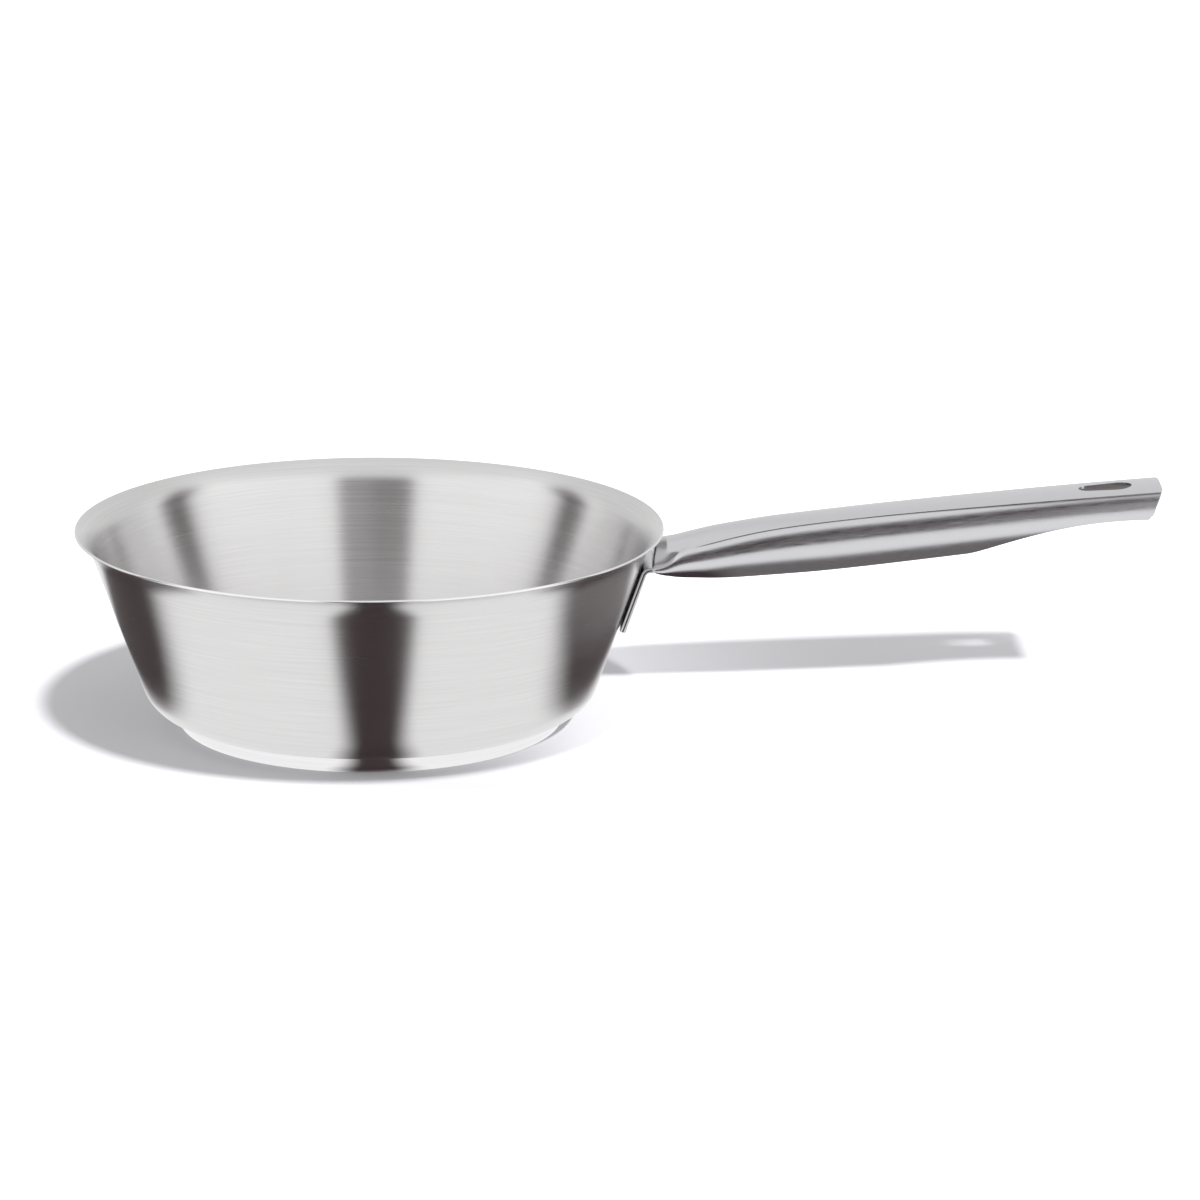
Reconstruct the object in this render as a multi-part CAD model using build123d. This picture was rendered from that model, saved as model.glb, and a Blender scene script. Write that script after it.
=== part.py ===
from build123d import *
import math
import os

# Conical saucier pan, nominal 24 cm: a spun bowl on a bonded base, with a welded tube handle.
# Millimetres. The pan's axis is Z, the table is z = 0, and the handle points along +X.

# Bowl: one drawn and spun sheet, measured on its outer surface
rim_radius = 120.0
pan_height = 82.0
bowl_sheet = 1.0
wall_angle = 19.4
flare_radius = 16.0
flare_angle = 60.0
corner_radius = 14.0

# Base: an aluminium disc inside a shallow steel cup, bonded under the bowl's floor
base_height = 7.0
base_step = 0.8
cap_sheet = 0.6
cap_corner_radius = 3.0
bond_clearance = 0.1

# Handle tab: the flattened end of the tube, two layers thick, bent down along the wall
tube_wall = 1.0
seam_gap = 0.15
tab_width = 30.0
tab_length = 26.1
tab_foot_radius = 2.5
bend_radius = 4.0
neck_height = 68.2
neck_length = 0.6
weld_gap = 0.15

# Handle tube: a round tube with a flattened top
tube_diameter = 28.0
tube_depth = 22.8
top_width = 22.4
handle_length = 206.2
handle_rise = 32.5
arch_height = 7.0
pinch_depth = 0.8
fold_width = 1.0

# Handle tip: the underside is cut away, and the top has a hanging slot
mouth_length = 80.0
mouth_wall = 11.5
tip_slant = 4.6
tip_corner_radius = 5.0
tip_edge_radius = 1.6
slot_length = 21.5
slot_wide_radius = 6.0
slot_narrow_radius = 4.4
slot_margin = 11.6

# Spot welds: short nuggets through the tab into the wall
weld_radius = 2.5
weld_pitch_across = 13.0
weld_pitch_along = 11.0
weld_depth = 0.7
weld_dimple = 0.25
weld_clearance = 0.04

# One overrun for every cut
overrun = 5.0

# Stations of the tube from the neck to past the tip, each step a little longer than the last. Each
# row gives the share of the handle's length, of its rise, of the added depth, of the spread to the
# tab's width, of the arch on top, and of the pinch beside the arch.
tube_shares = (
    (0.000, 0.000, 0.000, 1.00, 0.000, 0.00),
    (0.009, 0.009, 0.104, 0.98, 0.450, 0.70),
    (0.018, 0.026, 0.160, 0.95, 0.880, 1.00),
    (0.030, 0.068, 0.265, 0.85, 0.970, 1.00),
    (0.045, 0.140, 0.417, 0.69, 0.771, 0.70),
    (0.065, 0.209, 0.550, 0.52, 0.614, 0.28),
    (0.090, 0.260, 0.639, 0.41, 0.571, 0.05),
    (0.125, 0.320, 0.741, 0.29, 0.540, 0.00),
    (0.175, 0.400, 0.850, 0.17, 0.425, 0.00),
    (0.240, 0.485, 0.935, 0.08, 0.323, 0.00),
    (0.325, 0.566, 0.990, 0.02, 0.215, 0.00),
    (0.430, 0.648, 1.000, 0.00, 0.153, 0.00),
    (0.550, 0.731, 0.976, 0.13, 0.125, 0.00),
    (0.700, 0.826, 0.920, 0.38, 0.120, 0.00),
    (0.850, 0.917, 0.848, 0.56, 0.120, 0.00),
    (1.000, 1.000, 0.816, 0.60, 0.120, 0.00),
    (1.150, 1.077, 0.797, 0.60, 0.120, 0.00),
)
# Reach of the Bezier handles on the tube's lower quarters, round and folded flat, and on the short
# arcs above its widest line
round_share = 0.5523
folded_share = 0.92
shoulder_out_share = 0.65
shoulder_down_share = 0.286
shoulder_up_share = 0.362
# Place of the handles on each half of the arched top
flank_share = 2 / 3
# Handles of the cut that opens the underside
mouth_start_shares = (0.36, 0.70)
mouth_end_shares = (0.34, 0.02)

# Directions up the wall and square to it, in the XZ plane
slope = math.radians(wall_angle)
up_wall = Vector(math.sin(slope), math.cos(slope))
off_wall = Vector(math.cos(slope), -math.sin(slope))
flare = math.radians(flare_angle)

# Places on the bowl's outer profile, worked out down from the rim
rim_edge = Vector(rim_radius, pan_height - bowl_sheet * math.sin(flare))
flare_centre = rim_edge + Vector(math.cos(flare), -math.sin(flare)) * flare_radius
wall_top = flare_centre - off_wall * flare_radius
floor_edge_radius = wall_top.X - (wall_top.Y - base_height) * math.tan(slope)
corner_tangent = corner_radius * math.tan((math.pi / 2 - slope) / 2)
flat_radius = floor_edge_radius - corner_tangent
corner_centre = Vector(flat_radius, base_height + corner_radius)
cap_radius = flat_radius - base_step

# Centre of the tab's bend, a gap off the wall and a radius below the neck's upper face
layers = 2 * tube_wall + seam_gap
weld_end = layers + weld_gap + weld_depth
bend_x = wall_top.X + (neck_height - bend_radius - wall_top.Y) * math.tan(slope)
bend_centre = Vector(bend_x + (weld_gap + bend_radius) / math.cos(slope), neck_height - bend_radius)
neck_x = bend_centre.X + neck_length
tip_x = neck_x + handle_length


def bowl_side(inset):
    """Profile of one face of the bowl's sheet, from the axis to the rim."""
    corner = corner_radius - inset
    flared = flare_radius + inset
    floor = base_height + inset
    corner_mid = math.radians(-90 + (90 - wall_angle) / 2)
    flare_mid = math.radians(180 - (wall_angle + flare_angle) / 2)
    edges = [Line((0, floor), (flat_radius, floor))]
    corner_end = corner_centre + off_wall * corner
    corner_peak = corner_centre + Vector(math.cos(corner_mid), math.sin(corner_mid)) * corner
    edges.append(ThreePointArc((flat_radius, floor), corner_peak, corner_end))
    flare_start = flare_centre - off_wall * flared
    edges.append(Line(corner_end, flare_start))
    flare_peak = flare_centre + Vector(math.cos(flare_mid), math.sin(flare_mid)) * flared
    flare_end = flare_centre + Vector(-math.cos(flare), math.sin(flare)) * flared
    edges.append(ThreePointArc(flare_start, flare_peak, flare_end))
    return edges, flare_end


def make_bowl():
    """The spun sheet: floor, corner, conical wall and flared rim."""
    outer, outer_end = bowl_side(0)
    inner, inner_end = bowl_side(bowl_sheet)
    floor = Line((0, base_height), (0, base_height + bowl_sheet))
    rim = Line(outer_end, inner_end)
    return revolve(Plane.XZ * make_face([*outer, *inner, floor, rim]), Axis.Z)


def rounded_disc(radius, bottom, top, edge_radius):
    """Side profile of a disc whose lower edge is rounded."""
    outline = Polyline((0, bottom), (radius, bottom), (radius, top), (0, top), close=True)
    face = make_face(outline)
    return fillet(face.vertices().sort_by(Axis.X)[-2:].sort_by(Axis.Y)[0], edge_radius)


def make_base_cap():
    """Shallow cup that closes the base: flat foot, rounded edge, short wall up to the bowl."""
    outer = rounded_disc(cap_radius, 0, base_height, cap_corner_radius)
    inner_radius = cap_radius - cap_sheet
    inner_edge = cap_corner_radius - cap_sheet
    inner = rounded_disc(inner_radius, cap_sheet, base_height + overrun, inner_edge)
    return revolve(Plane.XZ * (outer - inner), Axis.Z)


def make_core_disc():
    """Aluminium disc that fills the cup."""
    radius = cap_radius - cap_sheet - bond_clearance
    edge_radius = cap_corner_radius - cap_sheet
    return revolve(Plane.XZ * rounded_disc(radius, cap_sheet, base_height, edge_radius), Axis.Z)


def tab_rail(depth, extra=0):
    """Line, bend and neck of the tab at a depth below its wall side, foot end first."""
    radius = bend_radius - depth
    bend_mid = (math.pi / 2 + math.pi - slope) / 2
    start = bend_centre - off_wall * radius
    peak = bend_centre + Vector(math.cos(bend_mid), math.sin(bend_mid)) * radius
    end = bend_centre + Vector(0, radius)
    foot = start - up_wall * (tab_length + extra)
    neck = end + Vector(neck_length, 0)
    return [Line(foot, start), ThreePointArc(start, peak, end), Line(end, neck)], foot, neck


def tab_band(near, far, width, extra=0):
    """Solid band of the tab between two depths."""
    near_rail, near_foot, near_neck = tab_rail(near, extra)
    far_rail, far_foot, far_neck = tab_rail(far, extra)
    ends = [Line(near_foot, far_foot), Line(near_neck, far_neck)]
    return extrude(Plane.XZ * make_face([*near_rail, *far_rail, *ends]), width / 2, both=True)


def tube_section(inset, run, rise, swell, spread, arch, pinch):
    """Face across the tube at one station, drawn in by an inset."""
    x = neck_x + handle_length * run
    radius = tube_diameter / 2
    depth = layers + (tube_depth - layers) * swell
    top = neck_height + handle_rise * rise - inset
    bottom = top - depth + 2 * inset
    half = radius + (tab_width / 2 - radius) * spread - inset
    crease = top_width / 2 + (tab_width / 2 - fold_width - top_width / 2) * spread - inset
    widest = bottom + (top - bottom) * radius / tube_depth
    lift = arch_height * arch
    flank = lift * flank_share * (1 - pinch) - pinch_depth * pinch
    full = round_share + (folded_share - round_share) * layers / depth
    out = (half - crease) * shoulder_out_share
    down = (top - widest) * shoulder_down_share
    up = (top - widest) * shoulder_up_share
    low = (widest - bottom) * full
    edges = []
    for side in (-1, 1):
        points = [
            (x, 0, top + lift),
            (x, side * crease * (1 - flank_share), top + lift),
            (x, side * crease * flank_share, top + flank),
            (x, side * crease, top),
            (x, side * (crease + out), top - down),
            (x, side * half, widest + up),
            (x, side * half, widest),
            (x, side * half, widest - low),
            (x, side * half * full, bottom),
            (x, 0, bottom),
        ]
        for first in (0, 3, 6):
            edges.append(Bezier(*points[first : first + 4]))
    return make_face(edges)


def tube(inset):
    """Loft from the flattened neck, through the D section of the grip, to past the tip."""
    return loft([tube_section(inset, *row) for row in tube_shares])


def tube_bottom(x):
    """Height of the tube's lowest line at x, straight between stations."""
    run = (x - neck_x) / handle_length
    before = [row for row in tube_shares if row[0] <= run][-1]
    after = [row for row in tube_shares if row[0] > run][0]
    place = (run - before[0]) / (after[0] - before[0])
    rise, swell = [near + (far - near) * place for near, far in zip(before[1:3], after[1:3])]
    return neck_height + handle_rise * rise - layers - (tube_depth - layers) * swell


def tip_keep():
    """Side outline of what the tip keeps: above the underside's cut, behind the slanted end."""
    top = neck_height + handle_rise
    lean = tip_slant / mouth_wall
    end = Vector(tip_x - tip_slant, top - mouth_wall)
    high = Vector(tip_x + overrun * lean, top + overrun)
    start = Vector(tip_x - mouth_length, tube_bottom(tip_x - mouth_length))
    reach = end - start
    rising = start + Vector(reach.X * mouth_start_shares[0], reach.Y * mouth_start_shares[1])
    level = end - Vector(reach.X * mouth_end_shares[0], reach.Y * mouth_end_shares[1])
    low = start.Y - tube_depth
    back = neck_x - overrun
    outline = make_face(
        [
            Polyline(start, (start.X, low), (back, low), (back, high.Y), high, end),
            Bezier(end, level, rising, start),
        ]
    )
    corner = outline.vertices().sort_by_distance((end.X, end.Y))[0]
    profile = Plane.XZ * fillet(corner, tip_edge_radius)
    return extrude(profile, tube_diameter, both=True)


def tip_plan():
    """Plan outline of the tip: square across, with rounded corners, and clear of the tube's sides."""
    back = neck_x - overrun
    half = tab_width / 2
    outline = Polyline((back, -half), (tip_x, -half), (tip_x, half), (back, half), close=True)
    face = make_face(outline)
    corners = face.vertices().sort_by(Axis.X)[-2:]
    return extrude(fillet(corners, tip_corner_radius), neck_height + handle_rise + tube_depth)


def hanging_slot():
    """Teardrop cutter for the slot in the tube's top face."""
    wide_x = tip_x - slot_margin - slot_wide_radius
    narrow_x = tip_x - slot_margin - slot_length + slot_narrow_radius
    wide = CenterArc((wide_x, 0), slot_wide_radius, 0, 360)
    narrow = CenterArc((narrow_x, 0), slot_narrow_radius, 0, 360)
    return extrude(make_hull([wide, narrow]), neck_height + handle_rise + tube_depth)


def make_handle():
    """Tube, flattened tab, open tip and hanging slot in one piece."""
    foot_edges = Axis((0, 0, 0), (off_wall.X, 0, off_wall.Y))
    tab = tab_band(0, layers, tab_width)
    tab = fillet(tab.edges().filter_by(foot_edges), tab_foot_radius)
    seam = tab_band(tube_wall, tube_wall + seam_gap, tab_width + overrun, overrun)
    open_tube = (tube(0) - tube(tube_wall)) & tip_keep() & tip_plan()
    return open_tube + (tab - seam) - hanging_slot()


def weld_rods(radius, start, end):
    """Four rods square to the tab, from one depth to another behind its outer face."""
    middle = tab_rail(layers)[1] + up_wall * (tab_length / 2)
    rods = []
    for along in (-weld_pitch_along / 2, weld_pitch_along / 2):
        for across in (-weld_pitch_across / 2, weld_pitch_across / 2):
            place = middle + up_wall * along
            face = Plane((place.X, across, place.Y), x_dir=(0, 1, 0), z_dir=(-off_wall.X, 0, -off_wall.Y))
            rod = Cylinder(radius, end - start, align=(Align.CENTER, Align.CENTER, Align.MIN))
            rods.append(face.offset(start) * rod)
    return rods


def make_spot_welds():
    """Four nuggets, dimpled on the tab's outer face and ending inside the wall's thickness."""
    return Compound(weld_rods(weld_radius, weld_dimple, weld_end))


def weld_holes():
    """Cutters that seat the nuggets in the tab and in the wall."""
    return weld_rods(weld_radius + weld_clearance, -overrun, weld_end + weld_clearance)


def main():
    """Build every piece and write one STEP file for each."""
    holes = weld_holes()
    pieces = {
        "bowl": make_bowl() - holes,
        "core_disc": make_core_disc(),
        "base_cap": make_base_cap(),
        "handle": make_handle() - holes,
        "spot_welds": make_spot_welds(),
    }
    os.makedirs("parts", exist_ok=True)
    for name, piece in pieces.items():
        export_step(piece, f"parts/{name}.step")


if __name__ == "__main__":
    main()
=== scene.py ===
"""Looks of a conical saucier pan: spun bowl, bonded base, and a welded tube handle.

Everything is in metres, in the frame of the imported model: the pan's axis is Z, it stands on z = 0,
and the handle points along +X.
"""

import math
from functools import partial
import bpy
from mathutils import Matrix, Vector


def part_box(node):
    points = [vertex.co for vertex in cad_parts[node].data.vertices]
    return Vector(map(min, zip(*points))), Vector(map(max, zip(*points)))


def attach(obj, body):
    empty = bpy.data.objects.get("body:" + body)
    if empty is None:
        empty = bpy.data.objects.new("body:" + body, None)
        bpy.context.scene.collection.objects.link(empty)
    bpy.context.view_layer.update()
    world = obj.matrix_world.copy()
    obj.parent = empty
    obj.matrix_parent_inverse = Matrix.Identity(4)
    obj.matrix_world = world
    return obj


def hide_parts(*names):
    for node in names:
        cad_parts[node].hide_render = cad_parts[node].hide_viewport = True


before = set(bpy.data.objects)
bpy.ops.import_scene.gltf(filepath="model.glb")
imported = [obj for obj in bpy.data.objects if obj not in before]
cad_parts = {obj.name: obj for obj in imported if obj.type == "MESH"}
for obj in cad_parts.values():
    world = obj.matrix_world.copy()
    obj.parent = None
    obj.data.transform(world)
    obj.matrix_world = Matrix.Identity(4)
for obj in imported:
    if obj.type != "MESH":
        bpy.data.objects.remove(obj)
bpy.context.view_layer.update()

from types import SimpleNamespace

import bmesh
import bpy
import numpy as np
from bpy.props import FloatProperty, FloatVectorProperty, PointerProperty
from mathutils import Matrix, Vector

bl_info = {
    "name": "Saucier pan",
    "version": (1, 0, 0),
    "blender": (4, 5, 0),
    "location": "View3D > Sidebar > Pan",
    "description": "Builds a steel saucier pan and its studio around the packed model",
    "category": "Add Mesh",
}

MM = 0.001
white = (1, 1, 1, 1)
bowl_low, bowl_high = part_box("bowl")
_, cap_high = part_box("base_cap")
_, handle_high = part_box("handle")


def length(name, description, millimetres):
    """A length property whose default is given in millimetres."""
    return FloatProperty(
        name=name, description=description, default=millimetres * MM, unit="LENGTH", precision=5
    )


def share(name, description, value):
    """A plain number between 0 and 1."""
    return FloatProperty(name=name, description=description, default=value, min=0, max=1)


def level(name, description, value):
    """A brightness, in which 1 is white."""
    return FloatProperty(name=name, description=description, default=value, min=0)


def angle(name, description, degrees):
    """An angle property whose default is given in degrees."""
    return FloatProperty(
        name=name, description=description, default=math.radians(degrees), unit="ROTATION"
    )


def colour_from_hex(code):
    """Linear RGB of an sRGB hex code, by the sRGB curve."""
    values = np.array([int(code[i : i + 2], 16) for i in (1, 3, 5)]) / 255
    linear = np.where(values <= 0.04045, values / 12.92, ((values + 0.055) / 1.055) ** 2.4)
    return tuple(float(v) for v in linear)


def colour(name, description, code):
    """A colour property whose default is given as an sRGB hex code."""
    return FloatVectorProperty(
        name=name, description=description, default=colour_from_hex(code),
        size=3, subtype="COLOR", min=0, max=1,
    )


class BowlSettings(bpy.types.PropertyGroup):
    """Sizes of the spun bowl."""

    rim_radius: length("Rim radius", "Radius of the flared rim", bowl_high.x / MM)
    height: length("Height", "Height of the rim above the table", bowl_high.z / MM)
    foot: length("Foot", "Height of the bowl's underside above the table", bowl_low.z / MM)
    sheet: length("Sheet", "Thickness of the steel sheet", 1.0)
    wall_angle: angle("Wall angle", "Lean of the wall from upright", 19.4)
    flare_radius: length("Flare radius", "Outer radius of the flare under the rim", 16.0)
    flare_angle: angle("Flare angle", "Lean of the rim from upright", 60.0)
    corner_radius: length("Corner radius", "Outer radius between floor and wall", 14.0)
    rim_round: length("Rim round", "Radius of the rim's rounded edges", 0.28)


class BaseSettings(bpy.types.PropertyGroup):
    """Sizes of the polished cup under the bowl."""

    radius: length("Radius", "Outer radius of the cup", cap_high.x / MM)
    height: length("Height", "Height of the cup's upper edge", cap_high.z / MM)
    sheet: length("Sheet", "Thickness of the cup's steel", 0.6)
    corner_radius: length("Corner radius", "Radius of the foot's edge", 3.0)


class HandleSettings(bpy.types.PropertyGroup):
    """Sizes of the tube handle and its tab."""

    tip_x: length("Tip", "Distance of the tip from the pan's axis", handle_high.x / MM)
    length: length("Length", "Length of the tube from the neck to the tip", 206.2)
    neck_height: length("Neck height", "Height of the neck's upper face", 68.2)
    rise: length("Rise", "Rise of the tube from the neck to the tip", 32.5)
    diameter: length("Diameter", "Width of the round tube", 28.0)
    depth: length("Depth", "Largest depth below the top's edge", 22.8)
    top_width: length("Top width", "Width of the flattened top", 22.4)
    arch: length("Arch", "Height of the arch on the throat's top", 7.0)
    pinch: length("Pinch", "Depth of the pinch beside the arch", 1.7)
    pinch_place: length("Pinch place", "Distance of the pinch from the top's edge", 2.6)
    pinch_width: length("Pinch width", "Half width of the pinch", 2.0)
    fold: length("Fold", "Width of the fold that edges the tab", 1.0)
    wall: length("Wall", "Thickness of the tube's wall", 1.0)
    seam: length("Seam", "Gap between the tab's two layers", 0.15)
    tab_width: length("Tab width", "Width of the flattened tab", 30.0)
    tab_length: length("Tab length", "Length of the tab's straight part", 26.1)
    tab_edge: length("Tab edge", "Radius of the edges of the tab's layers", 0.28)
    tab_foot: length("Tab foot", "Radius of the tab's lower corners", 2.5)
    bend_radius: length("Bend radius", "Radius of the tab's bend", 4.0)
    neck_length: length("Neck length", "Straight part between bend and tube", 0.6)
    step: length("Crease step", "Depth of the step pressed along the top's edge", 0.40)
    step_edge: length("Crease step edge", "Distance over which the step drops", 0.70)
    step_fade: length("Crease step fade", "Distance over which the step runs out", 1.60)
    mouth_length: length("Mouth length", "Length of the open underside", 80.0)
    mouth_wall: length("Mouth wall", "Height of the side walls at the tip", 11.5)
    tip_slant: length("Tip slant", "Slant of the tip's end", 4.6)
    tip_corner: length("Tip corner", "Radius of the tip's corners in plan", 5.0)
    tip_edge: length("Tip edge", "Radius of the side walls' lower corners", 1.6)
    slot_length: length("Slot length", "Length of the hanging slot", 21.5)
    slot_wide: length("Slot wide end", "Radius of the slot's wide end", 6.0)
    slot_narrow: length("Slot narrow end", "Radius of the slot's narrow end", 4.4)
    slot_margin: length("Slot margin", "Distance from the slot to the tip", 11.6)


class WeldSettings(bpy.types.PropertyGroup):
    """Sizes of the spot welds on the tab."""

    radius: length("Radius", "Radius of one weld", 2.5)
    across: length("Across", "Distance between welds across the tab", 13.0)
    along: length("Along", "Distance between welds along the tab", 11.0)
    ridge: length("Ridge", "Height of the raised ring round a weld", 0.1)


class SteelSettings(bpy.types.PropertyGroup):
    """Colours and finishes of the steel."""

    satin: colour("Satin steel", "Colour of the brushed bowl", "#D6D5D5")
    polish: colour("Polished steel", "Colour of the polished base and rim", "#E4E4E5")
    tube: colour("Tube steel", "Colour of the handle", "#CECED1")
    aluminium: colour("Aluminium", "Colour of the core disc", "#C5C6C8")
    # Darker than unpolished steel alone: painted shade inside the tube and in the tab's seam
    raw_with_painted_shade: colour("Raw steel", "Colour of the tube's unpolished inside", "#8F8B8A")
    weld: colour("Weld", "Colour of the pressed welds", "#A9A6A3")
    satin_roughness: share("Satin roughness", "Roughness of the brushed bowl", 0.26)
    polish_roughness: share("Polish roughness", "Roughness of the polished base", 0.16)
    tube_roughness: share("Tube roughness", "Roughness of the handle", 0.20)
    grit: length("Grit", "Distance between brush lines, drawn coarse enough to show", 0.42)
    streak: length("Streak", "Length of the brush lines", 45.0)
    fine: length("Fine grit", "Distance between the scratches along the handle", 0.3)
    scratch: length("Scratch", "Length of the scratches along the handle", 6.0)


class StageSettings(bpy.types.PropertyGroup):
    """Colours and levels of the studio."""

    floor: colour("Floor", "Colour of the floor", "#B4B4B8")
    lift: level("Lift", "Whiteness added to the floor near the pan", 0.12)
    table: level("Table", "Brightness of the table in the metal", 1.1)
    # Also the colour of the painted dark reflections that the metal sees on the table
    dark: colour("Dark", "Colour of the unlit room between the panels", "#43383A")
    panel: level("Panel", "Brightness of the light panels", 1.25)
    back: level("Back", "Brightness of the backdrop", 0.85)
    overhead: level("Overhead", "Brightness of the overhead panel", 0.95)


def node(tree, kind, inputs=(), **settings):
    """Add one shader node of a kind, set its attributes, and fill or link its inputs.

    The inputs come in order, or under their names or numbers. Each is a value, a socket, or a node
    that gives its first output. A Mix node's inputs 2 and 3 are its two numbers, and 6 and 7 its two
    colours.
    """
    made = tree.nodes.new("ShaderNode" + kind)
    for key, value in settings.items():
        setattr(made, key, value)
    named = inputs if isinstance(inputs, dict) else dict(enumerate(inputs))
    for key, value in named.items():
        source = value.outputs[0] if isinstance(value, bpy.types.Node) else value
        if isinstance(source, bpy.types.NodeSocket):
            tree.links.new(source, made.inputs[key])
        else:
            made.inputs[key].default_value = source
    return made


def new_material(name):
    """An empty node material, and node() for its tree."""
    material = bpy.data.materials.new(name)
    material.use_nodes = True
    material.node_tree.nodes.clear()
    return material, partial(node, material.node_tree)


# Brush lines of the steels: the share of fine noise in them, the scale of the broad noise against it,
# and the span in which a noise mostly stays. Turning the anisotropy by a quarter smears reflections
# across the lines.
fine_share, broad_scale, noise_span = 0.8, (0.3, 0.3, 0.15), (0.25, 0.75)
quarter_turn = 0.25


def steel(name, base, grit, streak, roughness, anisotropy, depth, wear=0.25, spread=0.06):
    """Stainless steel with parallel brush lines that follow the map "brushing".

    The map's U runs along the brush lines and V across them. The lines are a noise that changes fast
    with V, by grit, and slowly with the place in plan, by streak, so it has no seam. They vary the
    colour by the share spread, the roughness by the share wear, and the height by depth.
    """
    material, add = new_material(name)
    uv = add("UVMap", uv_map="brushing")
    across = add("SeparateXYZ", (uv,)).outputs["Y"]
    passed = add("Math", (across, 1 / grit), operation="MULTIPLY")
    offset = add("CombineXYZ", {"Z": passed})
    place = add("TexCoord").outputs["Object"]
    in_plan = (1 / streak, 1 / streak, 0)
    point = add("VectorMath", (place, in_plan, offset), operation="MULTIPLY_ADD")
    broad_point = add("VectorMath", (point, broad_scale), operation="MULTIPLY")
    fine = add("TexNoise", {"Vector": point, "Scale": 1.0, "Detail": 3.0, "Roughness": 0.6})
    broad = add("TexNoise", {"Vector": broad_point, "Scale": 1.0, "Detail": 2.0})
    faint = add("Math", (broad, 1 - fine_share), operation="MULTIPLY")
    lines = add("Math", (fine, fine_share, faint), operation="MULTIPLY_ADD")
    light = add("MapRange", (lines, *noise_span, 1 - spread, 1 + spread))
    tint = add("Mix", {"Factor": 1.0, 6: (*base, 1), 7: light}, data_type="RGBA", blend_type="MULTIPLY")
    smooth, dull = roughness * (1 - wear), roughness * (1 + wear)
    rough = add("MapRange", (lines, *noise_span, smooth, dull))
    bump = add("Bump", {"Strength": 1.0, "Distance": depth, "Height": lines})
    tangent = add("Tangent", direction_type="UV_MAP", uv_map="brushing")
    shader = add("BsdfPrincipled", {
        "Base Color": tint.outputs[2],
        "Metallic": 1.0,
        "Roughness": rough,
        "Anisotropic": anisotropy,
        "Anisotropic Rotation": quarter_turn,
        "Normal": bump,
        "Tangent": tangent,
    })
    add("OutputMaterial", {"Surface": shader})
    return material


def satin_steel():
    """18/10 stainless sheet, belt ground round the axis: silky, with reflections smeared up and down."""
    s = bpy.context.scene.pan_steel
    return steel(
        "satin_stainless_steel", s.satin, s.grit, s.streak,
        roughness=s.satin_roughness, anisotropy=0.86, depth=0.002 * MM, wear=0.07, spread=0.065,
    )


def polished_steel():
    """Stainless steel buffed bright: sharp highlights with a trace of turning lines."""
    s = bpy.context.scene.pan_steel
    return steel(
        "polished_stainless_steel", s.polish, s.grit, s.streak,
        roughness=s.polish_roughness, anisotropy=0.5, depth=0.001 * MM,
    )


def tube_steel():
    """Stainless tube, polished along its length: bright, with fine scratches that run along it."""
    s = bpy.context.scene.pan_steel
    return steel(
        "polished_stainless_tube", s.tube, s.fine, s.scratch,
        roughness=s.tube_roughness, anisotropy=0.6, depth=0.012 * MM, wear=0.45, spread=0.05,
    )


def raw_steel_with_painted_shade():
    """Inside of the tube as drawn, never polished: dull, and darker with painted shade so seams and
    openings read.
    """
    s = bpy.context.scene.pan_steel
    return steel(
        "drawn_tube_inside_painted_shade", s.raw_with_painted_shade, s.grit, s.streak,
        roughness=0.42, anisotropy=0.5, depth=0.006 * MM, spread=0.12,
    )


def weld_steel():
    """Stainless pressed and heated by the electrodes: duller than the tab round it, with no lines."""
    s = bpy.context.scene.pan_steel
    return steel(
        "spot_weld_steel", s.weld, s.grit, s.grit, roughness=0.35, anisotropy=0.0, depth=0.002 * MM
    )


def rolled_aluminium():
    """Aluminium plate as rolled: soft grey with a grain of 2 mm, sealed inside the base."""
    material, add = new_material("rolled_aluminium")
    place = add("TexCoord").outputs["Object"]
    grain = add("TexNoise", {"Vector": place, "Scale": 1 / (2 * MM), "Detail": 2.0})
    rough = add("MapRange", {"Value": grain, "To Min": 0.3, "To Max": 0.5})
    base = (*bpy.context.scene.pan_steel.aluminium, 1)
    shader = add("BsdfPrincipled", {"Base Color": base, "Metallic": 1.0, "Roughness": rough})
    add("OutputMaterial", {"Surface": shader})
    return material


def grid_faces(rows, columns, start=0):
    """Corner numbers of the quads of a grid of vertices, row by row."""
    i, j = np.meshgrid(np.arange(rows - 1), np.arange(columns - 1), indexing="ij")
    first = start + i * columns + j
    return np.stack([first, first + 1, first + columns + 1, first + columns], -1).reshape(-1, 4)


def make_piece(name, patches, materials, sharp=math.radians(35)):
    """One closed object from several grids.

    Each patch is (points, map, material number): points is rows x columns x 3, and map is
    rows x columns x 2. The grids are joined where their edges meet, and faces are turned outwards.
    """
    points, maps, faces, numbers = [], [], [], []
    start = 0
    for place, uv, number in patches:
        rows, columns = place.shape[:2]
        points.append(place.reshape(-1, 3))
        maps.append(uv.reshape(-1, 2))
        quads = grid_faces(rows, columns, start)
        faces.append(quads)
        numbers.append(np.full(len(quads), number, np.int32))
        start += rows * columns
    points, maps, faces = np.concatenate(points), np.concatenate(maps), np.concatenate(faces)
    mesh = bpy.data.meshes.new(name)
    mesh.from_pydata(points, [], faces)
    mesh.polygons.foreach_set("material_index", np.concatenate(numbers))
    layer = mesh.uv_layers.new(name="brushing")
    layer.data.foreach_set("uv", maps[faces.reshape(-1)].astype(np.float32).ravel())
    bm = bmesh.new()
    bm.from_mesh(mesh)
    bmesh.ops.remove_doubles(bm, verts=bm.verts, dist=2e-6)
    bmesh.ops.recalc_face_normals(bm, faces=bm.faces)
    bm.to_mesh(mesh)
    bm.free()
    mesh.shade_smooth()
    mesh.set_sharp_from_angle(angle=sharp)
    for material in materials:
        mesh.materials.append(material)
    piece = bpy.data.objects.new(name, mesh)
    bpy.context.scene.collection.objects.link(piece)
    return piece


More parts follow.
